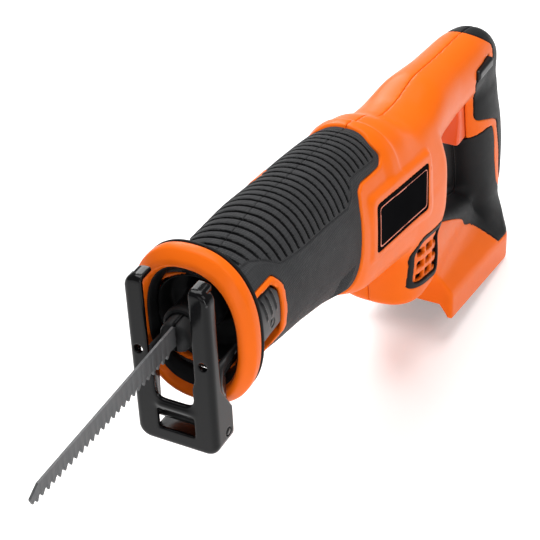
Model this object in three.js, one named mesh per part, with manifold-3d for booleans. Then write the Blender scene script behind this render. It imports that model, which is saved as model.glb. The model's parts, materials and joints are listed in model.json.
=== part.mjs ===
// Cordless reciprocating saw, without its battery, as an assembly of separate pieces.
// Millimetres. +X runs forward along the blade, +Y to the tool's left, +Z up.
// The origin lies under the middle of the tool, level with the lowest edge of the battery foot.

import * as THREE from 'three';
import { mergeVertices } from 'three/addons/utils/BufferGeometryUtils.js';
import Module from 'manifold-3d';

const wasm = await Module();
wasm.setup();

// ---------------------------------------------------------------- driving dimensions

const GAP = 0.3;             // clearance between pieces that touch
const WALL = 2.6;            // wall of the moulded clamshell
const SKIN = 2.4;            // thickness of the rubber overmould
const STROKE_Z = 184.5;      // height of the stroke axis
const STROKE = 22;           // travel of the blade

const TIP_X = 263.42;        // point of the blade
const SHOE_X = 151;          // front face of the shoe
const RING_X = 133;          // front of the nose ring
const NOSE_X = 122;          // front end of the clamshell
const MOTOR_X = -93;         // vertical motor axis
const HANDLE_X = -235;       // middle of the rear handle at its widest
const HANDLE_Z = 78;         // height of that place

const TOOTH_PITCH = 25.4 / 6;

const GEAR_MODULE = 0.9;
const PINION_TEETH = 8;
const GEAR_TEETH = 48;
const GEAR_X = MOTOR_X + GEAR_MODULE * (PINION_TEETH + GEAR_TEETH) / 2;
const CRANK_X = GEAR_X + STROKE / 2;

const FOOT_SLOPE = 0.155;    // the foot's base falls towards the rear
const FOOT_REAR = -243;
const FOOT_FRONT = -127;
const SKIRT_REAR = -236.58;  // where the skirt, the tool's lowest edge, ends

const PIVOT_X = 140;         // shoe pivot
const PIVOT_Z = 132;

// ---------------------------------------------------------------- materials

const finish = (color, roughness, metalness = 0) =>
  new THREE.MeshStandardMaterial({ color, roughness, metalness });

const ORANGE = finish(0xf46a1c, 0.36);
const RUBBER = finish(0x2c2d2f, 0.72);
const BLACK_PLASTIC = finish(0x17181a, 0.38);
const BLACK_PAINT = finish(0x0c0c0e, 0.2, 0.3);
const BLADE_STEEL = finish(0x3c3f42, 0.38, 0.85);
const STEEL = finish(0x9b9da0, 0.32, 0.95);
const CAST = finish(0xa7a9ab, 0.5, 0.85);
const SINTERED = finish(0x66686b, 0.45, 0.9);
const COPPER = finish(0xb06a3c, 0.35, 0.9);
const BRONZE = finish(0x9a7440, 0.45, 0.85);
const CARBON = finish(0x1d1d1f, 0.8);
const TRIGGER_ORANGE = finish(0xe8491a, 0.4);
const WIRE_RED = finish(0xb3201c, 0.5);
const WIRE_BLACK = finish(0x1a1a1a, 0.5);

// ---------------------------------------------------------------- shape helpers

// A closed three.js geometry becomes a solid that can be joined and cut.
function solid(geometry, tolerance = 1e-4) {
  const bare = geometry.index ? geometry.toNonIndexed() : geometry.clone();
  for (const name of Object.keys(bare.attributes)) {
    if (name !== 'position') bare.deleteAttribute(name);
  }
  const merged = mergeVertices(bare, tolerance);
  return new wasm.Manifold(new wasm.Mesh({
    numProp: 3,
    vertProperties: new Float32Array(merged.attributes.position.array),
    triVerts: new Uint32Array(merged.index.array),
  }));
}

function box(x0, x1, y0, y1, z0, z1) {
  const shape = new THREE.BoxGeometry(x1 - x0, y1 - y0, z1 - z0);
  return solid(shape.translate((x0 + x1) / 2, (y0 + y1) / 2, (z0 + z1) / 2));
}

// Cylinders along each axis, from one end to the other.
function rodX(x0, x1, r, y, z, sides = 24, r1 = r) {
  const shape = new THREE.CylinderGeometry(r1, r, x1 - x0, sides);
  return solid(shape.rotateZ(-Math.PI / 2).translate((x0 + x1) / 2, y, z));
}

function rodY(y0, y1, r, x, z, sides = 24) {
  const shape = new THREE.CylinderGeometry(r, r, y1 - y0, sides);
  return solid(shape.translate(x, (y0 + y1) / 2, z));
}

function rodZ(z0, z1, r, x, y, sides = 24) {
  const shape = new THREE.CylinderGeometry(r, r, z1 - z0, sides);
  return solid(shape.rotateX(Math.PI / 2).translate(x, y, (z0 + z1) / 2));
}

function outline(points) {
  return new THREE.Shape(points.map(([a, b]) => new THREE.Vector2(a, b)));
}

// An outline with each corner rounded by a quadratic curve of the given reach.
function rounded(points, reach) {
  const corners = points.map(([a, b, own]) => ({ p: new THREE.Vector2(a, b), own: own ?? reach }));
  const shape = new THREE.Shape();
  corners.forEach(({ p, own }, i) => {
    const before = corners.at(i - 1).p;
    const after = corners[(i + 1) % corners.length].p;
    const into = p.clone().add(before.clone().sub(p).setLength(own));
    const out = p.clone().add(after.clone().sub(p).setLength(own));
    if (i === 0) shape.moveTo(into.x, into.y);
    else shape.lineTo(into.x, into.y);
    shape.quadraticCurveTo(p.x, p.y, out.x, out.y);
  });
  shape.closePath();
  return shape;
}

function extruded(shape, depth, curveSegments) {
  return new THREE.ExtrudeGeometry(shape, { depth, bevelEnabled: false, curveSegments });
}

// Side outline (x, z) extruded across the tool.
function slabXZ(shape, y0, y1, curveSegments = 4) {
  return solid(extruded(shape, y1 - y0, curveSegments).rotateX(Math.PI / 2).translate(0, y1, 0));
}

// Front outline (y, z) extruded along the tool.
function slabYZ(shape, x0, x1, curveSegments = 4) {
  const turn = new THREE.Matrix4().makeBasis(
    new THREE.Vector3(0, 1, 0), new THREE.Vector3(0, 0, 1), new THREE.Vector3(1, 0, 0));
  return solid(extruded(shape, x1 - x0, curveSegments).applyMatrix4(turn).translate(x0, 0, 0));
}

// Plan outline (x, y) extruded upwards.
function slabXY(shape, z0, z1, curveSegments = 4) {
  return solid(extruded(shape, z1 - z0, curveSegments).translate(0, 0, z0));
}

// A turned piece. The profile (radius, height) closes on itself or on the axis.
function turned(profile, sides = 28) {
  const points = profile.map(([r, h]) => new THREE.Vector2(r, h));
  return new THREE.LatheGeometry(points, sides).rotateX(Math.PI / 2);
}

function turnedZ(profile, x, y, sides) {
  return solid(turned(profile, sides).translate(x, y, 0));
}

function turnedX(profile, y, z, sides) {
  return solid(turned(profile, sides).rotateY(Math.PI / 2).translate(0, y, z));
}

// A smooth body along a path in the plane y = 0. Each station has its middle (x, z), the path's
// direction in degrees from +X towards +Z, its half width across the tool, its half height, and
// how square its section is (2 is an ellipse).
function sleeve(stations, sides = 28) {
  const shape = new THREE.CylinderGeometry(1, 1, 1, sides, stations.length - 1);
  const position = shape.attributes.position;
  const squared = (v, n) => Math.sign(v) * Math.abs(v) ** (2 / n);
  for (let i = 0; i < position.count; i += 1) {
    const index = Math.round((position.getY(i) + 0.5) * (stations.length - 1));
    const [x, z, direction, halfWidth, halfHeight, n] = stations[index];
    const angle = THREE.MathUtils.degToRad(direction);
    const across = squared(position.getZ(i), n) * halfWidth;
    const up = squared(position.getX(i), n) * halfHeight;
    position.setXYZ(i, x - Math.sin(angle) * up, across, z + Math.cos(angle) * up);
  }
  return solid(shape);
}

// The same body with its surface moved inwards, its first end included.
function inset(stations, by) {
  return stations.map(([x, z, direction, w, h, n], i) => {
    const angle = THREE.MathUtils.degToRad(direction);
    const shift = i === 0 ? by : 0;
    return [x + shift * Math.cos(angle), z + shift * Math.sin(angle), direction, w - by, h - by, n];
  });
}

// A round tube along a smooth route.
function tube(points, radius, steps, sides = 8) {
  const section = new THREE.Shape();
  section.absarc(0, 0, radius, 0, Math.PI * 2, false);
  const path = new THREE.CatmullRomCurve3(points.map((p) => new THREE.Vector3(...p)));
  const shape = new THREE.ExtrudeGeometry(section, {
    steps, curveSegments: sides / 2, bevelEnabled: false, extrudePath: path,
  });
  return solid(shape);
}

const union = (...pieces) => pieces.reduce((sum, piece) => sum.add(piece));

function geometryOf(piece) {
  const mesh = piece.getMesh();
  const geometry = new THREE.BufferGeometry();
  geometry.setAttribute('position', new THREE.BufferAttribute(mesh.vertProperties, 3));
  geometry.setIndex(new THREE.BufferAttribute(mesh.triVerts, 1));
  return geometry;
}

// The main body of a piece, without the slivers that cuts along shared faces can leave.
function mainBody(piece, smallest) {
  const parts = solid(geometryOf(piece.simplify(smallest)), 2e-3).decompose();
  return parts.reduce((best, part) => (part.volume() > best.volume() ? part : best));
}

const LEFT = box(-400, 400, GAP / 2, 200, -50, 400);
const RIGHT = box(-400, 400, -200, -GAP / 2, -50, 400);
const mirrored = (piece) => piece.mirror([0, 1, 0]);

const saw = new THREE.Group();

function add(name, piece, material, smallest = 0.08) {
  const geometry = geometryOf(mainBody(piece, smallest));
  geometry.computeVertexNormals();
  const node = new THREE.Mesh(geometry, material);
  node.name = name;
  saw.add(node);
}

// ---------------------------------------------------------------- outer form

// Front grip, from behind the motor's front to the nose.
const gripForm = [
  [-48, 152, 0, 27, 43.5, 2.5],
  [-20, 154, 0, 28.5, 46, 2.5],
  [5, 159, 0, 29, 44.5, 2.4],
  [30, 165, 0, 29, 40.5, 2.35],
  [60, 171, 0, 29.5, 38, 2.3],
  [88, 174, 0, 30, 34, 2.3],
  [110, 177, 0, 31, 29.5, 2.3],
  [NOSE_X, 178, 0, 31.5, 28.5, 2.3],
];

// Ridge of the body and the upper handle.
const ridgeForm = [
  [-245, 137, 48, 9, 9, 2.2],
  [-238, 143, 36, 14, 15, 2.2],
  [-225, 149, 18, 17, 20.5, 2.3],
  [-205, 153, 4, 18, 21, 2.4],
  [-165, 156, 3, 19, 21, 2.4],
  [-134, 159, -3, 22, 22, 2.4],
  [-108, 156, 0, 25, 21, 2.4],
  [-84, 156, 4, 27, 23, 2.4],
  [-62, 160, 8, 27.5, 31, 2.4],
  [-40, 162, 4, 27, 34, 2.4],
];

// Lower body with the badge panel on its flanks.
const bodyForm = [
  [-124, 119, 0, 22, 28, 3],
  [-117, 123, 0, 29, 36, 3.6],
  [-60, 136, 0, 29.5, 38, 3.6],
  [-10, 146, 0, 29.5, 36, 3.4],
  [0, 148, 0, 28, 33, 3],
];

// Motor housing under the body, from its rounded base upwards.
const motorForm = [
  [-97, 54.5, 90, 17.5, 17.5, 2.5],
  [-97, 56.5, 90, 24, 23, 2.6],
  [-96.5, 61, 90, 27, 26.5, 2.8],
  [-95, 90, 90, 28, 28, 3.2],
  [-94, 130, 90, 28, 29, 3.2],
];

// Rear handle, from the foot upwards.
const handleForm = [
  [-226, 22, 88, 21, 20, 2.6],
  [-232, 42, 96, 19, 24.5, 2.3],
  [-236, 58, 92, 18.5, 26.5, 2.2],
  [HANDLE_X, HANDLE_Z, 87, 18.5, 28.5, 2.2],
  [-231, 96, 80, 18.5, 28, 2.2],
  [-225, 116, 78, 18, 26.5, 2.2],
  [-222, 134, 88, 17, 26.5, 2.3],
  [-222, 148, 90, 13, 22, 2.3],
];

// Battery foot: a saddle whose sides slope out to a level skirt, sheared along its falling base.
function foot(by) {
  const section = rounded([
    [-31.5 + by, 0], [31.5 - by, 0], [31.5 - by, 19 - by], [15 - by, 38 - by],
    [-15 + by, 38 - by], [-31.5 + by, 19 - by],
  ], 1.2);
  const plan = rounded([
    [FOOT_REAR + by, -22], [FOOT_REAR + by, 22], [-222 + by, 40, 9], [FOOT_FRONT - by, 40],
    [FOOT_FRONT - by, -40], [-222 + by, -40, 9],
  ], 4);
  const across = new THREE.Matrix4().makeBasis(
    new THREE.Vector3(0, 1, 0), new THREE.Vector3(0, 0, 1), new THREE.Vector3(1, 0, 0));
  const bar = extruded(section, 160, 3).applyMatrix4(across).translate(FOOT_REAR - 10, 0, 0);
  return inFoot(solid(bar).intersect(slabXY(plan, -1, 60, 4)));
}

// Bridge from the motor housing back to the foot, under the hand opening.
const bridgeForm = [
  [-206, 44, 12, 14, 14, 2.6],
  [-170, 54, 14, 18, 16, 2.6],
  [-130, 64, 16, 23, 22, 2.6],
  [-108, 72, 16, 24, 24, 2.6],
];

function hull(by) {
  return union(
    sleeve(inset(gripForm, by), 20),
    sleeve(inset(ridgeForm, by), 16),
    sleeve(inset(bodyForm, by), 16),
    sleeve(inset(motorForm, by), 20),
    sleeve(inset(handleForm, by), 16),
    sleeve(inset(bridgeForm, by), 12),
    foot(by),
  );
}

const outer = hull(0);
const shallow = hull(WALL);
const deep = hull(SKIN + GAP + WALL);
const underSkin = hull(SKIN);
const underSkinFit = hull(SKIN + GAP);

// ---------------------------------------------------------------- overmould regions

// Side outlines of the rubber regions, and the same grown by the fitting gap.
const gripRegion = (grow) => slabXZ(rounded([
  [NOSE_X + 5, 90], [NOSE_X + 5, 230], [-41 - grow, 230], [-41 - grow, 183 - grow, 4],
  [1 - grow, 183 - grow, 4], [1 - grow, 90],
], 1), -60, 60);

const rearRegion = (grow) => slabXZ(rounded([
  [-214 + grow, 200], [-216 + grow, 172], [-226 + grow, 160, 4], [-224 + grow, 152 + grow, 2],
  [-192 + grow, 152 + grow, 2], [-194 + grow, 122 - grow, 5], [-226, 112 - grow, 6],
  [-246 + grow, 104, 6], [-253 + grow, 80], [-252 + grow, 46 - grow, 1], [-290, 46 - grow, 1],
  [-290, 200],
], 3), -60, 60);

const palmRegion = (grow) => slabXZ(rounded([
  [-180, 102 + grow], [-236 - grow, 108 + grow, 8], [-246 - grow, 84], [-245 - grow, 60],
  [-247 - grow, 46, 4], [-252 - grow, 34], [-240, 28 - grow], [-196, 36 - grow], [-180, 60],
], 3), -60, 60);

function skinOf(region) {
  return outer.subtract(underSkin).intersect(region(0));
}

function pocketOf(region) {
  return region(GAP).subtract(underSkinFit);
}

// Openings through the walls.
const RELEASE_WINDOW = { x0: 94, x1: 118, z0: 163, z1: 198 };

function releaseWindow(grow) {
  const { x0, x1, z0, z1 } = RELEASE_WINDOW;
  return slabXZ(rounded([
    [x0 - grow, z0 - grow], [x1 + grow, z0 - grow], [x1 + grow, z1 + grow], [x0 + 4 - grow, z1 + grow],
  ], 3), 5, 60);
}

// Louvre slots in each flank, three rows of three.
function ventSlots() {
  const slots = [];
  for (const x of [-109.5, -98, -86.5]) {
    for (const z of [76, 84.8, 93.6]) {
      const middle = z + 0.22 * (x + 87);
      slots.push(box(x - 4.8, x + 4.8, 14, 60, middle - 2.4, middle + 2.4));
    }
  }
  return union(...slots);
}

const ventOutline = (grow) => rounded([
  [-75 + grow, 72.5 - grow], [-74.5 + grow, 99 + grow], [-84, 105.5 + grow, 5],
  [-115 - grow, 99 + grow, 2], [-116 - grow, 61.5 - grow, 2],
], 4);

// Parallelogram of the badge on each flank.
const badgeOutline = (grow) => rounded([
  [-15 + grow, 139 - grow, 1.5], [-15 + grow, 169 + grow, 6], [-85 - grow, 156 + grow, 1.5],
  [-85 - grow, 126 - grow, 6],
], 3);

const FLANK = 28.4;          // half width at the floor of the badge pockets
const VENT_FLOOR = 26.2;     // half width at the floor of the vent pockets

const nosePlane = box(NOSE_X - 0.01, NOSE_X + 20, -60, 60, 100, 240);
const noseBore = rodX(60, NOSE_X + 5, 24.2, 0, 180, 32);

const TRIGGER_SLOT = box(-222, -180, -8.3, 8.3, 102, 132);
const LOCK_SLOT = box(-216.3, -191.7, -40, 40, 151.2, 158.8);
const BAY_HALF = 27.5;       // battery bay, half width
const BAY_DEPTH = 13;

// A piece laid out level with the foot's base is sheared to follow its slope.
function inFoot(piece) {
  const shift = new THREE.Matrix4().makeShear(0, FOOT_SLOPE, 0, 0, 0, 0).elements.slice();
  shift[14] = -FOOT_SLOPE * SKIRT_REAR;
  return piece.transform(shift);
}

const BAY_FRONT = FOOT_FRONT - 4;

// The bay's long room, and the arch in its front wall.
function batteryBay() {
  const room = box(FOOT_REAR - 20, BAY_FRONT, -BAY_HALF, BAY_HALF, -20, BAY_DEPTH);
  const arch = slabYZ(outline([
    [-28, -20], [28, -20], [28, 2], [23, 9.3], [-23, 9.3], [-28, 2],
  ]), BAY_FRONT - 1, FOOT_FRONT + 1);
  return inFoot(room.add(arch));
}

function batteryRails() {
  const rail = box(FOOT_REAR + 6, BAY_FRONT - 2, BAY_HALF - 3, BAY_HALF + 2, 3, 6);
  return inFoot(rail.add(mirrored(rail)));
}

// ---------------------------------------------------------------- clamshell

// Housing screws: place in side view, and how far right of the middle the head sits.
const SCREWS = [
  [74, 146, 17], [-48, 178, 19], [-106, 140, 21], [-148, 160, 14], [-232, 140, 10], [-222, 66, 12.5],
];
const SCREW_REACH = 9;       // how far past the middle a screw's point goes

const screwHoles = union(...SCREWS.map(([x, z, seat]) => union(
  rodY(-seat - 1, SCREW_REACH + 1, 2.1, x, z, 10),
  rodY(-60, -seat, 3.9, x, z, 12),
)));

function shell() {
  const skinned = [gripRegion, rearRegion, palmRegion];
  const cavity = skinned.reduce((open, region) => open.subtract(region(WALL)), shallow).add(deep);
  let body = outer.subtract(cavity);
  for (const [x, z] of SCREWS) {
    body = body.add(rodY(-60, 60, 4.4, x, z, 12).intersect(outer));
  }
  for (const region of skinned) {
    body = body.subtract(pocketOf(region));
  }
  const cuts = [
    slabXZ(badgeOutline(GAP), FLANK, 60),
    slabXZ(ventOutline(GAP), VENT_FLOOR, 60),
    ventSlots(),
  ];
  for (const cut of cuts) {
    body = body.subtract(cut).subtract(mirrored(cut));
  }
  const openings = [releaseWindow(0), nosePlane, noseBore, TRIGGER_SLOT, LOCK_SLOT, batteryBay()];
  for (const cut of [...openings, screwHoles]) {
    body = body.subtract(cut);
  }
  return body.add(batteryRails());
}

const clamshell = shell();
add('housing_left', clamshell.intersect(LEFT), ORANGE, 0.14);
add('housing_right', clamshell.intersect(RIGHT), ORANGE, 0.14);

// ---------------------------------------------------------------- overmoulds

const frontSkin = skinOf(gripRegion).subtract(nosePlane).subtract(screwHoles);
const accent = releaseWindow(2.6);
add('front_grip_left', frontSkin.subtract(accent).intersect(LEFT), RUBBER);
add('front_grip_right', frontSkin.intersect(RIGHT), RUBBER);

const rearSkin = skinOf(rearRegion).subtract(TRIGGER_SLOT).subtract(LOCK_SLOT).subtract(screwHoles);
add('rear_overmould_left', rearSkin.intersect(LEFT), RUBBER);
add('rear_overmould_right', rearSkin.intersect(RIGHT), RUBBER);

const palmSkin = skinOf(palmRegion).subtract(TRIGGER_SLOT).subtract(screwHoles);
add('palm_grip_left', palmSkin.intersect(LEFT), RUBBER);
add('palm_grip_right', palmSkin.intersect(RIGHT), RUBBER);

// ---------------------------------------------------------------- badge, vents, nose

const badge = slabXZ(badgeOutline(0), FLANK + GAP, FLANK + GAP + 1.2);
add('badge_left', badge, BLACK_PLASTIC);
add('badge_right', mirrored(badge), BLACK_PLASTIC);

const ventFrame = slabXZ(ventOutline(0), VENT_FLOOR + GAP, 28)
  .subtract(slabXZ(ventOutline(-3), 20, 30));
add('vent_frame_left', ventFrame, RUBBER);
add('vent_frame_right', mirrored(ventFrame), RUBBER);

const RING_Z = 179;

function noseRing() {
  const back = NOSE_X + GAP;
  const rim = sleeve([
    [back, RING_Z, 0, 31.5, 42.5, 2.3],
    [back + 2, RING_Z, 0, 33, 44, 2.3],
    [RING_X - 4, RING_Z, 0, 32.6, 43.6, 2.3],
    [RING_X - 1, RING_Z, 0, 30.5, 41.5, 2.3],
    [RING_X, RING_Z, 0, 28, 39, 2.3],
  ], 32);
  const mouth = sleeve([
    [back - 1, RING_Z, 0, 22.6, 29, 2.6],
    [back + 3, RING_Z, 0, 22.6, 30, 2.6],
    [RING_X + 1, RING_Z, 0, 24.5, 35.5, 2.3],
  ], 32);
  return rim.subtract(mouth);
}

function ringGasket() {
  const plate = sleeve([
    [NOSE_X - 2.6, RING_Z, 0, 31.8, 42, 2.3],
    [NOSE_X - 0.2, RING_Z, 0, 33, 43.6, 2.3],
  ], 32);
  return plate.subtract(sleeve(inset(gripForm, -GAP), 20));
}

add('nose_ring', noseRing(), ORANGE);
add('nose_gasket', ringGasket(), RUBBER);

// ---------------------------------------------------------------- blade release

const CAM_RING_RADIUS = 19.5;

function releaseLever() {
  const pad = sleeve(gripForm, 20)
    .subtract(sleeve(inset(gripForm, 3.2), 20))
    .intersect(slabXZ(rounded([[96.5, 171], [115.5, 171], [115.5, 195], [99, 195]], 3), 10, 60));
  const arm = box(99, 107, CAM_RING_RADIUS + GAP, 28.5, 181, 188);
  return pad.add(arm);
}

add('release_lever', releaseLever(), BLACK_PLASTIC);
add('release_cam_ring',
  rodX(98, 108, CAM_RING_RADIUS, 0, STROKE_Z, 24).subtract(rodX(97, 109, 15.5, 0, STROKE_Z, 24)),
  SINTERED);

// ---------------------------------------------------------------- plunger, clamp and blade

const SHAFT_RADIUS = 6;
const SHAFT_REAR = -20;      // its last 12 mm is turned down
const CLAMP_REAR = 110;
const CLAMP_FRONT = 146;
const YOKE_LOW = 158;
const YOKE_HIGH = 165;
const PIN_X = SHAFT_REAR + 6;

const bore = (x0, x1, r, sides = 20) => rodX(x0, x1, r, 0, STROKE_Z, sides);
const drivePin = (r) => rodZ(161, 189.5, r, PIN_X, 0, 10);

add('plunger_shaft', bore(SHAFT_REAR, SHAFT_REAR + 13, SHAFT_RADIUS - 0.7)
  .add(bore(SHAFT_REAR + 12, 120, SHAFT_RADIUS)).subtract(drivePin(2.3)), STEEL);

function scotchYoke() {
  const plate = box(CRANK_X - 10, CRANK_X + 10, -17.5, 17.5, YOKE_LOW, YOKE_HIGH)
    .subtract(box(CRANK_X - 3.9, CRANK_X + 3.9, -14.9, 14.9, YOKE_LOW - 1, YOKE_HIGH + 1));
  const arm = box(CRANK_X + 8, PIN_X + 5, -6, 6, YOKE_LOW, YOKE_HIGH);
  const riser = box(PIN_X - 5, PIN_X + 5, -6, 6, YOKE_LOW, STROKE_Z - SHAFT_RADIUS - GAP);
  return union(plate, arm, riser, drivePin(2));
}

add('scotch_yoke', scotchYoke(), SINTERED);

const bladeSlot = box(123, CLAMP_FRONT + 1, -1, 1, 177, 192.6);

add('blade_clamp', bore(CLAMP_REAR, CLAMP_FRONT - 1.5, 8.2)
  .add(rodX(CLAMP_FRONT - 1.5, CLAMP_FRONT, 8.2, 0, STROKE_Z, 20, 7.2))
  .subtract(bore(CLAMP_REAR - 1, 120.3, SHAFT_RADIUS + GAP)).subtract(bladeSlot), BLACK_PLASTIC);
add('clamp_collar', turnedX([
  [8.5, 112], [10.4, 112], [11, 113], [11, 118], [10.2, 120], [10.2, 132], [11, 134], [11, 137],
  [10.2, 138], [8.5, 138], [8.5, 112],
], 0, STROKE_Z, 18), SINTERED);

function blade() {
  const shape = new THREE.Shape();
  const teeth = 26;
  const firstTooth = TIP_X - 4;
  const toothZ = (x) => 178 + (3 * (x - 148)) / 110;
  shape.moveTo(126, 180.2);
  shape.lineTo(126, 189);
  shape.lineTo(CLAMP_FRONT - 2, 189);
  shape.lineTo(CLAMP_FRONT + 1, 191.8);
  shape.lineTo(TIP_X - 6.5, 189.2);
  shape.lineTo(TIP_X, 185.4);
  shape.lineTo(TIP_X - 1.2, toothZ(TIP_X) + 0.4);
  for (let i = 0; i < teeth; i += 1) {
    const x = firstTooth - i * TOOTH_PITCH;
    const z = toothZ(x);
    shape.lineTo(x, z);
    shape.lineTo(x - 0.9, z + 1.9);
    shape.lineTo(x - 2.1, z + 1.9);
  }
  shape.lineTo(CLAMP_FRONT - 2, 180.2);
  shape.closePath();
  return slabXZ(shape, -0.62, 0.62);
}

add('saw_blade', blade(), BLADE_STEEL);

// ---------------------------------------------------------------- gear case

const CASE_REAR = -101;
const CASE_FRONT = -2;
const TUBE_END = 82;
const GEAR_LOW = 136;
const GEAR_HIGH = 146;
const PLATE_LOW = 131;
const PLATE_HIGH = 134;

// The case's walls: its end outline and its plan, drawn in by the given amount.
function caseBlock(by, x0, x1, z0, z1) {
  const ends = outline([
    [-24.8 + by, z0], [24.8 - by, z0], [24.8 - by, 151], [19 - by / 2, z1], [-19 + by / 2, z1],
    [-24.8 + by, 151],
  ]);
  const plan = outline([
    [CASE_REAR - by, -12 + by], [-94 + by / 3, -20 + by], [-80, -24.8 + by], [-14 - by, -24.8 + by],
    [CASE_FRONT - 2 * by, -20 + by], [CASE_FRONT - 2 * by, 20 - by], [-14 - by, 24.8 - by],
    [-80, 24.8 - by], [-94 + by / 3, 20 - by], [CASE_REAR - by, 12 - by],
  ]);
  return slabYZ(ends, x0, x1).intersect(slabXY(plan, z0 - 1, z1 + 1));
}

function gearCase() {
  const floor = PLATE_HIGH + GAP;
  const chamber = caseBlock(0, CASE_REAR, CASE_FRONT, floor, 168.6)
    .subtract(caseBlock(2, CASE_REAR - 3, CASE_FRONT, floor - 3, 166.6));
  const neck = bore(CASE_FRONT - 4, TUBE_END, 12, 24).add(box(64, TUBE_END, -8, 8, 160.3, 178));
  return chamber.subtract(box(-46, CASE_FRONT - 4, -9, 9, 160, 200))
    .add(neck).subtract(bore(CASE_FRONT - 10, TUBE_END + 1, 9.3, 24));
}

add('gear_case', gearCase(), CAST);

const axle = (r, z0, z1) => rodZ(z0, z1, r, GEAR_X, 0, 16);
const motorBore = (r, z0, z1, sides = 16) => rodZ(z0, z1, r, MOTOR_X, 0, sides);

add('gear_plate', slabXY(rounded([
  [CASE_REAR, -12, 1], [-94, -20], [-80, -24.6], [CASE_FRONT - 8, -24.6], [CASE_FRONT, -18],
  [CASE_FRONT, 18], [CASE_FRONT - 8, 24.6], [-80, 24.6], [-94, 20], [CASE_REAR, 12, 1],
], 2), PLATE_LOW, PLATE_HIGH, 3)
  .subtract(motorBore(7.3, 130, 135)).subtract(axle(4.3, 130, 135)), STEEL);

const bushing = (x0, x1) => bore(x0, x1, 9, 20).subtract(bore(x0 - 1, x1 + 1, SHAFT_RADIUS + 0.15, 20));
add('rear_bush', bushing(2, 16), BRONZE);
add('front_bush', bushing(64, 78), BRONZE);

// ---------------------------------------------------------------- gears

// Spur gear outline with slightly thinned straight-sided teeth. A tooth or a gap faces +X.
function gearOutline(teeth, toothAtFront) {
  const pitch = (GEAR_MODULE * teeth) / 2;
  const step = (Math.PI * 2) / teeth;
  const turn = toothAtFront ? 0 : step / 2;
  const flank = [
    [pitch - 1.15 * GEAR_MODULE, 0.8], [pitch + 0.8 * GEAR_MODULE, 0.3],
  ];
  const points = [];
  for (let i = 0; i < teeth; i += 1) {
    const middle = i * step + turn;
    const side = (sign) => flank.map(([r, half]) => [r, middle + (sign * half) / r]);
    for (const [r, angle] of [...side(-1), ...side(1).reverse()]) {
      points.push([r * Math.cos(angle), r * Math.sin(angle)]);
    }
  }
  return outline(points);
}

function driveGear() {
  const rim = slabXY(gearOutline(GEAR_TEETH, false), GEAR_LOW, GEAR_HIGH).translate(GEAR_X, 0, 0);
  const crankHole = rodZ(GEAR_LOW + 2, GEAR_HIGH + 1, 3.8, CRANK_X, 0, 16);
  return rim.subtract(axle(4.3, GEAR_LOW - 1, GEAR_HIGH + 1)).subtract(crankHole);
}

add('drive_gear', driveGear(), SINTERED);
add('crank_pin', rodZ(GEAR_LOW + 2.3, YOKE_LOW - 0.5, 3.5, CRANK_X, 0, 16), STEEL);
add('gear_axle', axle(4, PLATE_LOW, 149), STEEL);

// ---------------------------------------------------------------- motor

add('motor_can', turnedZ([
  [17, 70], [19, 70], [19, 122], [4, 122], [4, 120], [17, 120], [17, 70],
], MOTOR_X, 0, 28), STEEL);
add('motor_end_cap', turnedZ([
  [4.3, 65], [18, 65], [19, 66], [19, 69.7], [4.3, 69.7], [4.3, 65],
], MOTOR_X, 0, 28), BLACK_PLASTIC);

function magnet() {
  const ring = motorBore(16.7, 80, 116, 28).subtract(motorBore(13.8, 79, 117, 28));
  return ring.intersect(box(MOTOR_X - 20, MOTOR_X + 20, 5, 20, 70, 120));
}

add('magnet_left', magnet(), CARBON);
add('magnet_right', mirrored(magnet()), CARBON);

const hub = (z0, z1) => motorBore(2, z0, z1, 12);
const pinion = slabXY(gearOutline(PINION_TEETH, true), GEAR_LOW - 1, GEAR_HIGH + 1)
  .translate(MOTOR_X, 0, 0);
add('motor_shaft', motorBore(1.7, 65, GEAR_HIGH, 12).add(pinion), STEEL);

function armature() {
  const poles = 5;
  let core = motorBore(12.9, 83, 113, 25);
  for (let i = 0; i < poles; i += 1) {
    const slot = box(8, 14, -1.1, 1.1, 82, 114).rotate([0, 0, (360 / poles) * i]);
    core = core.subtract(slot.translate(MOTOR_X, 0, 0));
  }
  return core.subtract(hub(82, 114));
}

add('armature_core', armature(), SINTERED);
add('commutator', motorBore(5, 72, 79.5, 16).subtract(hub(71, 80)), COPPER);
add('brush_left', box(MOTOR_X - 2.5, MOTOR_X + 2.5, 5.4, 13, 73, 78), CARBON);
add('brush_right', box(MOTOR_X - 2.5, MOTOR_X + 2.5, -13, -5.4, 73, 78), CARBON);
add('lower_bearing', motorBore(4, 65.2, 69.4).subtract(hub(65, 70)), STEEL);
add('upper_bearing', motorBore(7, PLATE_LOW, PLATE_HIGH - 0.2).subtract(hub(130, 135)), STEEL);

function coolingFan() {
  const blades = 9;
  let fan = motorBore(17, 123.5, 125, 24).add(motorBore(5, 123.5, 129.5, 16));
  for (let i = 0; i < blades; i += 1) {
    const vane = box(4, 16.6, -0.6, 0.6, 124.5, 129).rotate([0, 0, (360 / blades) * i]);
    fan = fan.add(vane.translate(MOTOR_X, 0, 0));
  }
  return fan.subtract(hub(123, 130));
}

add('cooling_fan', coolingFan(), BLACK_PLASTIC);

// ---------------------------------------------------------------- shoe

const SHOE_HALF = 22;
const SHEET = 2.4;
const SHOE_LOW = 123;
const SHOE_HIGH = 218;
const pivotHole = (r) => rodY(-30, 30, r, PIVOT_X, PIVOT_Z, 16);

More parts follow.
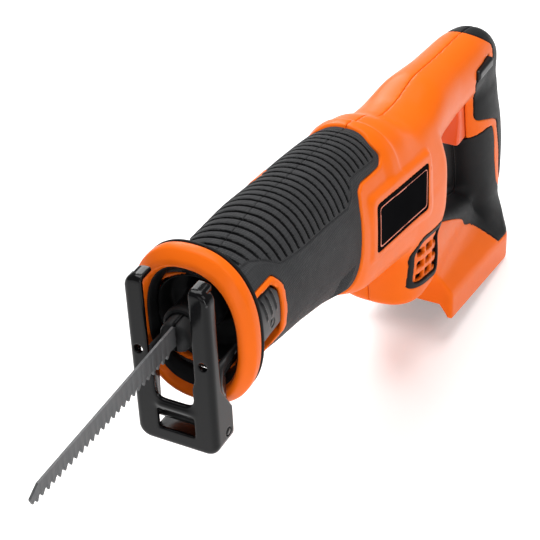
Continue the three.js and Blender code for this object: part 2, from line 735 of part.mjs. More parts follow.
function shoe() {
  const face = slabYZ(rounded([
    [-SHOE_HALF, SHOE_LOW], [SHOE_HALF, SHOE_LOW], [SHOE_HALF, SHOE_HIGH, 3], [-SHOE_HALF, SHOE_HIGH, 3],
  ], 7), SHOE_X - SHEET, SHOE_X, 4);
  const cheek = slabXZ(rounded([
    [SHOE_X, SHOE_LOW, 2], [SHOE_X, SHOE_HIGH, 3], [144, SHOE_HIGH], [144, 160], [134.5, 144],
    [134.5, 126], [139, SHOE_LOW + 1],
  ], 2), SHOE_HALF - SHEET, SHOE_HALF, 3).intersect(slabYZ(rounded([
    [-SHOE_HALF, SHOE_LOW], [SHOE_HALF, SHOE_LOW], [SHOE_HALF, SHOE_HIGH, 3], [-SHOE_HALF, SHOE_HIGH, 3],
  ], 7), 100, 200, 4));
  const lip = box(129.5, SHOE_X, -16, 16, SHOE_LOW, SHOE_LOW + SHEET);
  const hook = box(140.5, SHOE_X, 12, SHOE_HALF - 3, SHOE_HIGH - SHEET, SHOE_HIGH);
  const blank = union(face, cheek, mirrored(cheek), lip, hook, mirrored(hook));
  const slot = slabYZ(rounded([
    [-10.5, 150], [10.5, 150], [12, 165, 2], [12, 260], [-12, 260], [-12, 165, 2],
  ], 4), 120, 170);
  const window = slabYZ(rounded([[-10, 132], [10, 132], [10, 144], [-10, 144]], 1.5), 145, 170);
  const eyes = rodX(140, 160, 2.3, 17, 177, 12).add(rodX(140, 160, 2.3, -17, 177, 12));
  return blank.subtract(slot).subtract(window).subtract(eyes).subtract(pivotHole(2.3));
}

add('shoe', shoe(), BLACK_PAINT);
add('shoe_pivot_pin', rodY(-SHOE_HALF, SHOE_HALF, 2, PIVOT_X, PIVOT_Z, 16), STEEL);

function shoeBracket() {
  const arm = slabXZ(outline([
    [100, 164], [134.5, 162], [135.5, 132], [137.5, 128.2], [142.5, 128.2], [144.5, 132],
    [144.5, 150], [139, 170], [100, 170],
  ]), 17, 19.2);
  const cross = slabYZ(outline([
    [-19.2, 164], [-7, 156.5], [7, 156.5], [19.2, 164], [19.2, 170], [17, 170],
    [6, 160], [-6, 160], [-17, 170], [-19.2, 170],
  ]), 100, 104);
  const tongue = box(66, 104, -7, 7, 156.5, 160);
  return union(arm, mirrored(arm), cross, tongue).subtract(pivotHole(2.3));
}

add('shoe_bracket', shoeBracket(), BLACK_PAINT);

// ---------------------------------------------------------------- controls

const TRIGGER_TRAVEL = 7;
const trigger = slabXZ(rounded([
  [-190, 131.5, 3], [-192.5, 118, 4], [-190.5, 102.6, 2], [-212, 102.6], [-212, 131.5],
], 1), -8, 8);
add('trigger', trigger, TRIGGER_ORANGE);
add('switch_module', box(-237, -212 - TRIGGER_TRAVEL - 1, -9, 9, 106, 131), BLACK_PLASTIC);

const LOCK_OUT = 21.5;       // how far left the lock-off button reaches at rest
add('lock_off_button', slabXZ(rounded([
  [-216, 151.5], [-192, 151.5], [-192, 158.5], [-216, 158.5],
], 1.2), -17.5, LOCK_OUT, 3), BLACK_PLASTIC);

// ---------------------------------------------------------------- battery connection and wiring

add('receiver_plate', inFoot(box(-233.5, BAY_FRONT - 3, -26, 26, BAY_DEPTH + GAP, BAY_DEPTH + 2.3)
  .subtract(box(-192, -172, -9, 9, 0, 30))), BLACK_PLASTIC);
add('terminal_block', inFoot(box(-191.5, -172.5, -8.5, 8.5, 6, 20)
  .subtract(box(-189, -175, 4.7, 6.3, 0, 21))
  .subtract(box(-189, -175, -6.3, -4.7, 0, 21))), BLACK_PLASTIC);
for (const [name, y] of [['terminal_positive', 5.5], ['terminal_negative', -5.5]]) {
  add(name, inFoot(box(-188.5, -175.5, y - 0.5, y + 0.5, 2, 21)), COPPER);
}

for (const [side, hand, material] of [['red', 1, WIRE_RED], ['black', -1, WIRE_BLACK]]) {
  const low = 3.5 * hand;
  const high = 7.5 * hand;
  add(`battery_wire_${side}`, tube([
    [-188, low, 31.5], [-200, low, 32], [-214, low, 34.5], [-230, low, 44], [-240, low, 58],
    [-242, low, 76], [-238, low, 92], [-234, low, 105.5],
  ], 1.1, 12, 6), material);
  add(`motor_wire_${side}`, tube([
    [-226, high, 105.5], [-231, high, 84], [-230, high, 66], [-226, high, 48], [-221, high, 38],
    [-212, high, 31.5], [-198, high, 32], [-180, high, 42], [-156, high, 54], [-130, high, 61],
    [-112.8, high, 67.4],
  ], 1.1, 16, 6), material);
}

// ---------------------------------------------------------------- housing screws

SCREWS.forEach(([x, z, seat], i) => {
  const head = rodY(-seat - 2.4, -seat - 0.2, 3.5, x, z, 12);
  const shank = rodY(-seat - 1, SCREW_REACH, 1.8, x, z, 10);
  add(`housing_screw_${i + 1}`, head.add(shank), STEEL);
});

export default saw;
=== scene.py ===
# Looks of the cordless reciprocating saw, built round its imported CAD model. Blender 4.5.
# The moulded shells are solid fields, worked out in millimetres in the CAD model's own frame and
# turned into meshes. Everything lands in metres. A field is negative inside its solid, and near its
# surface it is the distance from it.

import json
import math

import bmesh
import bpy
import numpy as np
from mathutils import Matrix, Vector


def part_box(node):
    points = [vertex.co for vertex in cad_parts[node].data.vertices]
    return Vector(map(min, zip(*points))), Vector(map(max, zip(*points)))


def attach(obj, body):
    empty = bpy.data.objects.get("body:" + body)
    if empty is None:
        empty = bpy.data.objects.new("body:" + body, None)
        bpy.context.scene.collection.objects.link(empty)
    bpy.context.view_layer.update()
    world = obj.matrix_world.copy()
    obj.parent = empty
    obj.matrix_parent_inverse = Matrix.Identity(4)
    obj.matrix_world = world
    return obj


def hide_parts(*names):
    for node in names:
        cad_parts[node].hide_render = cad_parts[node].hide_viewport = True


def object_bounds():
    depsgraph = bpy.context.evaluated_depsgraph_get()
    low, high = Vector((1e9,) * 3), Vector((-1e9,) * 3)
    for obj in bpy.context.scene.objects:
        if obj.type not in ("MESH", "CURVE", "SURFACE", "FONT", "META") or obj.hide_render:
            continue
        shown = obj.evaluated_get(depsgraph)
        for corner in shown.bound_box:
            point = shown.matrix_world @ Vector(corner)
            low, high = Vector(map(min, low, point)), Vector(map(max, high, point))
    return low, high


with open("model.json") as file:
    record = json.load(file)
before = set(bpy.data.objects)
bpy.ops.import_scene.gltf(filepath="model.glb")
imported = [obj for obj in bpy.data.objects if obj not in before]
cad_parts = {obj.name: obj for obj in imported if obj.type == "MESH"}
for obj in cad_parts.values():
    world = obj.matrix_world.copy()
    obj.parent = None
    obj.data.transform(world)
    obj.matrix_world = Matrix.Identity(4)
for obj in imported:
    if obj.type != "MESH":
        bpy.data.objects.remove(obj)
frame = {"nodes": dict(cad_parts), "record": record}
cad_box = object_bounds()

MM = 0.001


def box_mm(node):
    """The two corners of a CAD node's box."""
    low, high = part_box(node)
    return [v / MM for v in low], [v / MM for v in high]


# ---------------------------------------------------------------- sizes, in millimetres

WALL = 2.5  # the housing's own thickness
SKIN = 2.2  # thickness of the rubbers, which lie flush in the housing
SEAM = 0.12  # half of the gap between the left and right halves
GROOVE = 1.3  # depth of the front grip's grooves
GROOVE_PITCH = 5.7
STROKE_Z = sum(v[2] for v in box_mm("plunger_shaft")) / 2
NOSE_X = box_mm("housing_left")[1][0]
RING_Z = sum(v[2] for v in box_mm("nose_ring")) / 2
TIP_X = box_mm("saw_blade")[1][0]

FOOT_SLOPE = 0.155  # how fast the foot's base rises towards the front
FOOT_REAR = -243.0
FOOT_FRONT = -127.0
SKIRT_REAR = -236.58  # where the base meets the level z = 0

# Stations of each smooth body: middle x and z, direction of its path in degrees, half width,
# half height, and how square its section is.
GRIP = [
    (-48, 152, 0, 27, 43, 2.5), (-20, 154, 0, 28.5, 46, 2.5), (5, 159, 0, 29, 44.5, 2.4),
    (30, 165, 0, 29, 40.5, 2.35), (60, 171, 0, 29.5, 38, 2.3), (88, 174, 0, 30, 34, 2.3),
    (110, 177, 0, 31, 29.5, 2.3), (122, 178, 0, 31.5, 28.5, 2.3), (128, 178.5, 0, 31.7, 28, 2.3),
]
RIDGE = [
    (-245, 137, 48, 9, 9, 2.2), (-238, 143, 36, 14, 15, 2.2), (-225, 149, 18, 17, 20.5, 2.3),
    (-205, 153, 4, 18, 21, 2.4), (-165, 156, 3, 19, 21, 2.4), (-134, 159, -3, 22, 22, 2.4),
    (-108, 156, 0, 25, 21, 2.4), (-84, 156, 4, 27, 23, 2.4), (-62, 160, 8, 27.5, 31, 2.4),
    (-40, 162, 4, 27, 33.5, 2.4),
]
BODY = [
    (-124, 119, 0, 25, 30, 3), (-117.5, 123, 0, 30.5, 36, 3.6), (-60, 136, 0, 29.5, 38, 3.4),
    (-10, 146, 0, 29.5, 36, 3.4), (0, 148, 0, 28, 33, 3),
]
MOTOR = [
    (-97, 54.5, 90, 17.5, 17.5, 2.5), (-97, 56.5, 90, 24, 23, 2.6), (-96.5, 61, 90, 27, 26.5, 2.8),
    (-95, 90, 90, 28, 28, 3.2), (-94, 130, 90, 28, 29, 3.2),
]
HANDLE = [
    (-226, 22, 88, 21, 20, 2.6), (-232, 42, 96, 19, 24.5, 2.3), (-236, 58, 92, 18.5, 26.5, 2.2),
    (-235, 78, 87, 18.5, 28.3, 2.2), (-231, 96, 80, 18.5, 28, 2.2), (-225, 116, 78, 18, 26.5, 2.2),
    (-222, 134, 88, 17, 26.5, 2.3), (-222, 148, 90, 13, 22, 2.3),
]
BRIDGE = [
    (-206, 44, 12, 14, 14, 2.6), (-170, 54, 14, 18, 16, 2.6), (-130, 64, 16, 23, 22, 2.6),
    (-108, 72, 16, 24, 24, 2.6),
]


# ---------------------------------------------------------------- fields on a grid

class Grid:
    """A block of space, sampled evenly. Its arrays are in millimetres."""

    def __init__(self, low, high, step):
        self.low, self.step = low, step
        axes = [np.arange(a, b + step, step, dtype=np.float32) for a, b in zip(low, high)]
        self.axes = axes
        self.x = axes[0][:, None, None]
        self.y = axes[1][None, :, None]
        self.z = axes[2][None, None, :]
        self.side_x, self.side_z = axes[0][:, None], axes[2][None, :]


def blend_min(a, b, reach):
    """Two solids joined, with a fillet where they meet."""
    h = np.clip(0.5 + 0.5 * (b - a) / reach, 0, 1)
    return b + (a - b) * h - reach * h * (1 - h)


def blend_max(a, b, reach):
    """What two solids share, with its new edges eased."""
    return -blend_min(-a, -b, reach)


def cut(a, b, reach=0.7):
    """Solid a without solid b, with its new edges eased."""
    return blend_max(a, -b, reach)


def spine(stations, ease=9.0, step=1.5):
    """Stations evenly spaced along the path, with their changes eased."""
    s = np.array(stations, float)
    run = np.concatenate([[0], np.cumsum(np.hypot(*np.diff(s[:, :2], axis=0).T))])
    count = int(run[-1] / step) + 2
    at = np.linspace(0, run[-1], count)
    fine = np.stack([np.interp(at, run, s[:, i]) for i in range(6)], 1)
    width = max(int(ease / step), 1)
    padded = np.pad(fine, ((width, width), (0, 0)), mode="reflect", reflect_type="odd")
    window = np.hanning(2 * width + 3)[1:-1]
    window /= window.sum()
    return np.stack([np.convolve(padded[:, i], window, "valid") for i in range(6)], 1)


def sleeve(g, stations, cap=4.0, ease=9.0):
    """Field of a smooth body along its path."""
    s = spine(stations, ease).astype(np.float32)
    turn = np.radians(s[:, 2])
    from_x, from_z = g.side_x[..., None] - s[:, 0], g.side_z[..., None] - s[:, 1]
    ahead = from_x * np.cos(turn) + from_z * np.sin(turn)
    index = np.clip((ahead > 0).sum(-1) - 1, 0, len(s) - 2)
    a0 = np.take_along_axis(ahead, index[..., None], -1)[..., 0]
    a1 = np.take_along_axis(ahead, index[..., None] + 1, -1)[..., 0]
    f = np.clip(a0 / np.where(np.abs(a0 - a1) < 1e-6, 1, a0 - a1), 0, 1)[..., None]
    v = s[index] * (1 - f) + s[index + 1] * f
    x, z, direction, w, h, n = [v[..., i] for i in range(6)]
    angle = np.radians(direction)
    up = -np.sin(angle) * (g.side_x - x) + np.cos(angle) * (g.side_z - z)
    n3 = n[:, None, :]
    rise = (np.abs(up / h) ** n)[:, None, :]
    across = (np.abs(g.y) / w[:, None, :]) ** n3
    rho = np.maximum((rise + across) ** (1 / n3), 1e-3)
    reach = np.sqrt((up ** 2)[:, None, :] + g.y ** 2)
    ends = np.maximum(-ahead[..., 0], ahead[..., -1])[:, None, :]
    return blend_max(reach - reach / rho, ends, cap)


def above_base(g):
    """Height over the foot's base, which falls towards the rear."""
    return g.z - FOOT_SLOPE * (g.x - SKIRT_REAR)


def foot(g):
    """Saddle whose sides slope out to a level skirt."""
    side = np.abs(g.y)
    level = above_base(g)
    slope = ((side - 31.5) * 19 + (level - 19) * 16.5) / math.hypot(19, 16.5)
    solid = blend_max(side - 31.5, slope, 2.0)
    solid = blend_max(solid, level - 37, 6.0)
    solid = blend_max(solid, -level, 0.8)
    corner = ((FOOT_REAR - g.x) * 18 + (side - 22) * 21) / math.hypot(18, 21)
    solid = blend_max(solid, corner, 5.0)
    solid = blend_max(solid, FOOT_REAR - g.x, 1.5)
    return blend_max(solid, g.x - FOOT_FRONT, 2.5)


def evened(field, step):
    """The same surface, with the field growing by one millimetre per millimetre near it."""
    slopes = np.gradient(field, step)
    steep = np.sqrt(sum(s ** 2 for s in slopes))
    return field / np.clip(steep, 0.55, 3)


def hull(g):
    """The whole outer form of the moulded body."""
    solid = blend_min(sleeve(g, GRIP, 2.0), sleeve(g, BODY, 6.0), 4.0)
    solid = blend_min(solid, sleeve(g, RIDGE, 5.0), 7.0)
    solid = blend_min(solid, sleeve(g, MOTOR, 7.0, 5.0), 5.0)
    panel = blend_max(side_shape(g, PANEL, 3.0), np.abs(g.y) - 30.2, 2.5)
    solid = blend_min(solid, panel, 3.0)
    rear = blend_min(sleeve(g, HANDLE, 4.0), foot(g), 9.0)
    rear = blend_min(rear, sleeve(g, BRIDGE, 4.0), 9.0)
    solid = blend_min(solid, rear, 6.0)
    solid = np.maximum(solid, -above_base(g))
    return evened(solid, g.step)


def side_shape(g, points, ease=0.0):
    """Field of a side outline (x, z), with its corners eased. Negative inside."""
    px, pz = g.side_x, g.side_z
    ring = np.array(points, np.float32)
    best = np.full(np.broadcast(px, pz).shape, 1e9, np.float32)
    inside = np.zeros(best.shape, bool)
    for (ax, az), (bx, bz) in zip(ring, np.roll(ring, -1, 0)):
        ex, ez = bx - ax, bz - az
        t = np.clip(((px - ax) * ex + (pz - az) * ez) / (ex * ex + ez * ez), 0, 1)
        best = np.minimum(best, (px - ax - t * ex) ** 2 + (pz - az - t * ez) ** 2)
        if az != bz:
            crossing = (az > pz) != (bz > pz)
            inside ^= crossing & (px < ex * (pz - az) / ez + ax)
    field = np.where(inside, -1, 1) * np.sqrt(best)
    for _ in range(int(2 * (ease / g.step) ** 2)):
        field = np.pad(field, 1, mode="edge")
        around = field[:-2, 1:-1] + field[2:, 1:-1] + field[1:-1, :-2] + field[1:-1, 2:]
        field = around / 8 + field[1:-1, 1:-1] / 2
    return field[:, None, :].astype(np.float32)


def block(g, low, high, ease=0.0):
    """Field of a box with rounded edges."""
    parts = [np.abs(axis - (a + b) / 2) - (b - a) / 2 + ease
             for axis, a, b in zip((g.x, g.y, g.z), low, high)]
    outside = np.sqrt(sum(np.maximum(p, 0) ** 2 for p in parts))
    inner = np.minimum(np.maximum(np.maximum(parts[0], parts[1]), parts[2]), 0)
    return outside + inner - ease


def rod_y(g, x, z, radius):
    """Field of an endless round rod along Y."""
    return np.sqrt((g.x - x) ** 2 + (g.z - z) ** 2) - radius


def rod_x(g, y, z, radius):
    """Field of an endless round rod along X."""
    return np.sqrt((g.y - y) ** 2 + (g.z - z) ** 2) - radius


def step_down(field, reach):
    """One where the field is negative and nothing where it is positive, with a soft step."""
    return 1 / (1 + np.exp(np.clip(field / reach, -20, 20)))


CORNERS = [(i, j, k) for i in (0, 1) for j in (0, 1) for k in (0, 1)]
EDGES = [(a, b) for a in range(8) for b in range(a + 1, 8)
         if sum(abs(p - q) for p, q in zip(CORNERS[a], CORNERS[b])) == 1]


def surface(g, field):
    """Closed quad mesh of a field's zero surface: one point in each cell that it crosses."""
    field = np.array(np.broadcast_to(field, [len(a) for a in g.axes]), np.float32)
    for axis in range(3):
        edge = [slice(None)] * 3
        for end in (0, -1):
            edge[axis] = end
            field[tuple(edge)] = np.maximum(field[tuple(edge)], 0.05)
    field = np.where(np.abs(field) < 1e-4, 1e-4, field)
    solid = field < 0
    size = [n - 1 for n in field.shape]
    total = sum(solid[i:i + size[0], j:j + size[1], k:k + size[2]].astype(np.int8)
                for i, j, k in CORNERS)
    cells = np.argwhere((total > 0) & (total < 8))
    number = np.full(size, -1, np.int64)
    number[tuple(cells.T)] = np.arange(len(cells))
    values = np.stack([field[tuple((cells + c).T)] for c in CORNERS], 1)
    place = np.zeros((len(cells), 3), np.float64)
    crossings = np.zeros(len(cells))
    for a, b in EDGES:
        va, vb = values[:, a], values[:, b]
        hit = (va < 0) != (vb < 0)
        t = np.where(hit, va / np.where(hit, va - vb, 1), 0)[:, None]
        spot = np.array(CORNERS[a]) + t * (np.array(CORNERS[b]) - np.array(CORNERS[a]))
        place += np.where(hit[:, None], spot, 0)
        crossings += hit
    place = (cells + place / crossings[:, None]) * g.step + np.array(g.low)
    quads = []
    for axis in range(3):
        u, v = [(1, 2), (2, 0), (0, 1)][axis]
        first = [slice(1, -1)] * 3
        second = [slice(1, -1)] * 3
        first[axis], second[axis] = slice(None, -1), slice(1, None)
        a, b = solid[tuple(first)], solid[tuple(second)]
        where = np.argwhere(a != b)
        where[:, u] += 1
        where[:, v] += 1
        back_u, back_v = np.zeros(3, int), np.zeros(3, int)
        back_u[u], back_v[v] = 1, 1
        around = [where - back_u - back_v, where - back_v, where, where - back_u]
        quad = np.stack([number[tuple(c.T)] for c in around], 1)
        leaving = solid[tuple(where.T)]
        quad[~leaving] = quad[~leaving][:, ::-1]
        quads.append(quad)
    return place, np.concatenate(quads)


# ---------------------------------------------------------------- materials

def finish_of(name, color, rough, metal=0.0, grain=0.0, grain_size=0.6, drift=0.08, mottle=0.06,
              coat=0.0, dots=0.0, stretch=(1, 1, 1), wear_and_highlight=0.0, specular=0.5):
    """Procedural material. Its colour is mottled and its roughness drifts over the surface, grain and
    dots are bumps, its edge setting pales its outer edges, partly as wear and partly as a painted
    highlight on the bevels, and stretch draws the pattern out along an axis."""
    material = bpy.data.materials.new(name)
    material.use_nodes = True
    nodes, links = material.node_tree.nodes, material.node_tree.links
    shader = nodes["Principled BSDF"]
    shader.inputs["Metallic"].default_value = metal
    shader.inputs["Coat Weight"].default_value = coat
    shader.inputs["Coat Roughness"].default_value = 0.12
    shader.inputs["Specular IOR Level"].default_value = specular
    place = nodes.new("ShaderNodeTexCoord")
    mapping = nodes.new("ShaderNodeMapping")
    mapping.inputs["Scale"].default_value = stretch
    links.new(place.outputs["Object"], mapping.inputs["Vector"])

    def noise(size, detail=3.0):
        node = nodes.new("ShaderNodeTexNoise")
        node.inputs["Scale"].default_value = 1 / (size * MM)
        node.inputs["Detail"].default_value = detail
        links.new(mapping.outputs["Vector"], node.inputs["Vector"])
        return node.outputs["Fac"]

    def ramp(value, low, high):
        node = nodes.new("ShaderNodeMapRange")
        node.inputs["To Min"].default_value = low
        node.inputs["To Max"].default_value = high
        links.new(value, node.inputs["Value"])
        return node.outputs["Result"]

    def mixed(a, b, factor):
        node = nodes.new("ShaderNodeMix")
        node.data_type = "RGBA"
        links.new(factor, node.inputs["Factor"])
        for socket, value in (("A", a), ("B", b)):
            found = [i for i in node.inputs if i.name == socket and i.type == "RGBA"][0]
            if hasattr(value, "links"):
                links.new(value, found)
            else:
                found.default_value = (*value, 1)
        return [o for o in node.outputs if o.type == "RGBA"][0]

    deep = tuple(c * (1 - mottle) for c in color)
    pale = tuple(min(c * (1 + mottle) + mottle * 0.02, 1) for c in color)
    tone = mixed(deep, pale, noise(14, 4))
    # Paler outer edges: partly wear, partly a painted highlight on the bevels.
    if wear_and_highlight:
        geometry = nodes.new("ShaderNodeNewGeometry")
        edge = nodes.new("ShaderNodeMapRange")
        # Pointiness is 0.5 on a flat face and more on an outer edge.
        edge.inputs["From Min"].default_value = 0.53
        edge.inputs["From Max"].default_value = 0.62
        edge.inputs["To Max"].default_value = wear_and_highlight
        links.new(geometry.outputs["Pointiness"], edge.inputs["Value"])
        tone = mixed(tone, tuple(min(c * 1.6 + 0.05, 1) for c in color), edge.outputs["Result"])
    links.new(tone, shader.inputs["Base Color"])
    links.new(ramp(noise(5, 5), rough - drift, rough + drift), shader.inputs["Roughness"])
    height = noise(grain_size, 2)
    if dots:
        dot_pitch = 1.3
        cells = nodes.new("ShaderNodeTexVoronoi")
        cells.inputs["Scale"].default_value = 1 / (dot_pitch * MM)
        cells.inputs["Randomness"].default_value = 0.15
        links.new(mapping.outputs["Vector"], cells.inputs["Vector"])
        added = nodes.new("ShaderNodeMath")
        added.operation = "MULTIPLY_ADD"
        added.inputs[1].default_value = -dots
        links.new(cells.outputs["Distance"], added.inputs[0])
        links.new(height, added.inputs[2])
        height = added.outputs["Value"]
    bump = nodes.new("ShaderNodeBump")
    bump.inputs["Strength"].default_value = grain
    bump.inputs["Distance"].default_value = 0.2 * MM
    links.new(height, bump.inputs["Height"])
    links.new(bump.outputs["Normal"], shader.inputs["Normal"])
    return material


ORANGE = finish_of("orange_abs", (0.82, 0.135, 0.005), 0.34, grain=0.10, grain_size=0.5, drift=0.05,
                   mottle=0.03, wear_and_highlight=0.2, specular=0.09)
RUBBER = finish_of("black_overmould", (0.007, 0.0073, 0.008), 0.50, grain=0.35, grain_size=0.35,
                   mottle=0.15, wear_and_highlight=0.3, specular=0.10)
DOTTED = finish_of("black_overmould_dotted", (0.040, 0.0405, 0.042), 0.44, grain=0.8, grain_size=0.5,
                   mottle=0.2, dots=3.0, wear_and_highlight=0.3, specular=0.02)
# Painted shade: a darker black for the bottoms of the front grip's grooves, standing in for the shade
# there.
GROOVE_PAINTED_SHADE = finish_of("black_overmould_groove_painted_shade", (0.0025, 0.0025, 0.003), 0.7, grain=0.2, mottle=0.1,
                   specular=0.08)
PLATE = finish_of("badge_plate", (0.004, 0.004, 0.0045), 0.35, grain=0.05, mottle=0.1, specular=0.0)
TRIM = finish_of("badge_line", (0.75, 0.20, 0.11), 0.4, grain=0.1, mottle=0.05)
MATERIALS = {
    "orange": ORANGE,
    "overmould": RUBBER,
    "black_plastic": finish_of("black_plastic", (0.006, 0.006, 0.007), 0.30, grain=0.12, mottle=0.1,
                               wear_and_highlight=0.3, specular=0.25),
    # Its paler edges are mostly a painted highlight along the bevels.
    "black_paint": finish_of("black_gloss_paint", (0.002, 0.002, 0.0025), 0.14, grain=0.04, grain_size=1.2,
                             drift=0.05, coat=0.1, wear_and_highlight=0.9, specular=0.14),
    "blade_steel": finish_of("blade_steel", (0.035, 0.036, 0.038), 0.42, metal=0.3, grain=0.35,
                             grain_size=0.5, mottle=0.22, stretch=(0.25, 1, 1), wear_and_highlight=0.8, specular=0.35),
    "steel": finish_of("machined_steel", (0.55, 0.56, 0.57), 0.30, metal=1.0, grain=0.15, mottle=0.08),
    "cast_alloy": finish_of("cast_alloy", (0.58, 0.59, 0.60), 0.5, metal=0.9, grain=0.5, grain_size=0.9),
    "sintered": finish_of("sintered_steel", (0.30, 0.31, 0.32), 0.45, metal=0.9, grain=0.4, grain_size=0.3),
    "copper": finish_of("copper", (0.64, 0.32, 0.18), 0.32, metal=1.0, grain=0.1),
    "bronze": finish_of("bronze", (0.50, 0.34, 0.15), 0.42, metal=1.0, grain=0.2),
    "carbon": finish_of("carbon", (0.03, 0.03, 0.032), 0.7, grain=0.4),
    "trigger_orange": finish_of("trigger_orange", (0.78, 0.10, 0.014), 0.36, grain=0.1, mottle=0.04,
                                wear_and_highlight=0.25),
    "wire_red": finish_of("wire_red", (0.5, 0.02, 0.015), 0.4, grain=0.1),
    "wire_black": finish_of("wire_black", (0.02, 0.02, 0.02), 0.4, grain=0.1),
}

for part in frame["record"]["subparts"]:
    node = frame["nodes"][part["node"]]
    node.data.materials.clear()
    node.data.materials.append(MATERIALS[part["material_slot"]])

BODY_OF = {node: body for body, nodes in frame["record"]["behaviour"]["bodies"].items()
           for node in nodes}
SLOT_OF = {part["node"]: part["material_slot"] for part in frame["record"]["subparts"]}


# ---------------------------------------------------------------- making pieces

def sided(name, side):
    """A node's full name on the left, where side is 1, or on the right, where it is -1."""
    return name + ("_left" if side == 1 else "_right")


def linked(name, data):
    """A new object in the scene."""
    obj = bpy.data.objects.new(name, data)
    bpy.context.scene.collection.objects.link(obj)
    return obj


def shade(obj, smooth):
    """Shades every face smooth or flat."""
    obj.data.polygons.foreach_set("use_smooth", [smooth] * len(obj.data.polygons))


def dress(obj, material, body):
    """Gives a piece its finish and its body."""
    obj.data.materials.clear()
    obj.data.materials.append(material)
    shade(obj, True)
    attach(obj, body)
    return obj


def place_piece(obj, node, material=None):
    """Puts a finished mesh on its CAD node's body, in that node's place."""
    dress(obj, material or MATERIALS[SLOT_OF[node]], BODY_OF[node])
    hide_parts(node)
    return obj


def mesh_object(name, places, faces):
    """An object from places in millimetres and faces of any number of corners."""
    mesh = bpy.data.meshes.new(name)
    mesh.from_pydata((np.asarray(places) * MM).tolist(), [], [list(map(int, f)) for f in faces])
    mesh.validate()
    return linked(name, mesh)


def facing_out(obj):
    """Turns every face of a closed mesh outwards."""
    work = bmesh.new()
    work.from_mesh(obj.data)
    bmesh.ops.recalc_face_normals(work, faces=work.faces)
    work.to_mesh(obj.data)
    work.free()
    return obj


def field_object(name, g, field, mirror=False):
    """An object from a field, or from its mirror image on the right side."""
    places, quads = surface(g, field)
    if mirror:
        places[:, 1] *= -1
        quads = quads[:, ::-1]
    mesh = bpy.data.meshes.new(name)
    mesh.vertices.add(len(places))
    mesh.vertices.foreach_set("co", (places * MM).astype(np.float32).ravel())
    mesh.loops.add(quads.size)
    mesh.loops.foreach_set("vertex_index", quads.astype(np.int32).ravel())
    mesh.polygons.add(len(quads))
    mesh.polygons.foreach_set("loop_start", np.arange(0, quads.size, 4, dtype=np.int32))
    mesh.polygons.foreach_set("loop_total", np.full(len(quads), 4, np.int32))
    mesh.update(calc_edges=True)
    mesh.validate()
    return linked(name, mesh)


def refined(node, width, material=None):
    """A copy of a CAD node with its edges rounded."""
    mesh = frame["nodes"][node].data.copy()
    obj = linked(node + "_finished", mesh)
    work = bmesh.new()
    work.from_mesh(mesh)
    bmesh.ops.remove_doubles(work, verts=work.verts, dist=1e-5)
    bmesh.ops.dissolve_limit(work, angle_limit=math.radians(1), verts=work.verts, edges=work.edges)
    least = math.radians(35)
    sharp = [e for e in work.edges if len(e.link_faces) == 2 and e.calc_face_angle(0) > least]
    bmesh.ops.bevel(work, geom=sharp, offset=width * MM, segments=2, affect="EDGES", clamp_overlap=True)
    bmesh.ops.triangulate(work, faces=work.faces)
    work.to_mesh(mesh)
    work.free()
    return place_piece(obj, node, material)


def loft(name, rings):
    """A closed skin through a closed series of closed loops."""
    count = len(rings[0])
    places = [p for ring in rings for p in ring]
    faces = []
    for i in range(len(rings)):
        j = (i + 1) % len(rings)
        for k in range(count):
            m = (k + 1) % count
            faces.append((i * count + k, j * count + k, j * count + m, i * count + m))
    return mesh_object(name, places, faces)


def turns(count):
    """The cosines and sines of a full turn in even steps."""
    turn = np.linspace(0, 2 * math.pi, count, endpoint=False)
    return np.cos(turn), np.sin(turn)


def oval(x, z, w, h, n, count=128):
    """A loop across X: half width w, half height h, squarer as n grows."""
    c, s = turns(count)
    y = w * np.sign(c) * np.abs(c) ** (2 / n)
    up = h * np.sign(s) * np.abs(s) ** (2 / n)
    return [(x, float(a), z + float(b)) for a, b in zip(y, up)]


# ---------------------------------------------------------------- side outlines (x, z), in millimetres

GRIP_EDGE = [(140, 60), (140, 240), (-42, 240), (-41, 197), (-36, 191), (-38.5, 185), (-33, 181.5),
             (-20, 183.5), (-8, 185.5), (-2, 184), (0.5, 176), (1, 142), (1, 60)]
RIB_EDGE = [(140, 203), (101, 203), (94, 200.5), (86, 195), (70, 192), (36, 187), (13, 183), (6, 186),
            (1, 191.5), (-8, 190.5), (-30, 186.5), (-34, 188.5), (-32, 193), (-37, 199), (-38, 240),
            (140, 240)]
REAR_EDGE = [(-208, 200), (-211, 173), (-226, 161), (-224, 152), (-190.5, 151), (-193, 146),
             (-201.5, 138), (-204, 131), (-204.5, 122), (-206, 116.5), (-209, 114.6), (-214, 113.2),
             (-225, 109), (-233, 104), (-234, 97), (-240, 77), (-243, 58), (-249, 48), (-256, 44),
             (-300, 44), (-300, 200)]
PALM_EDGE = [(-190, 102), (-202, 102), (-218, 104.5), (-225, 103), (-227.5, 98), (-229.5, 90),
             (-232, 73), (-236.5, 54), (-247, 42), (-252, 34), (-252, 22), (-236, 24), (-220, 46),
             (-190, 66)]
BADGE = [(-15, 139), (-15, 169), (-85, 156), (-85, 126)]
VENT = [(-75, 73), (-74.6, 98), (-83, 105.5), (-114.8, 99), (-115.6, 62.5)]
PANEL = [(-9, 136), (-9, 176), (-91, 161), (-91, 120)]
SCREW_NODES = [f"housing_screw_{i}" for i in range(1, 7)]


def screw_line(node):
    """A screw's x and z, and the y of its head and of its tip."""
    low, high = box_mm(node)
    return (low[0] + high[0]) / 2, (low[2] + high[2]) / 2, low[1], high[1]


SCREWS = [screw_line(node) for node in SCREW_NODES]


def window(g, grow):
    """The release lever's window in the left half, or an outline round it."""
    rear, front = 95.5 - 1.5 * grow, 118 + grow
    low, rise = 163 - 0.6 * grow, 0.6 * grow
    outline = [(rear, low), (front, low), (front, 194 + rise), (rear + 5, 193 + rise), (rear, 188)]
    return side_shape(g, outline, 1.5)


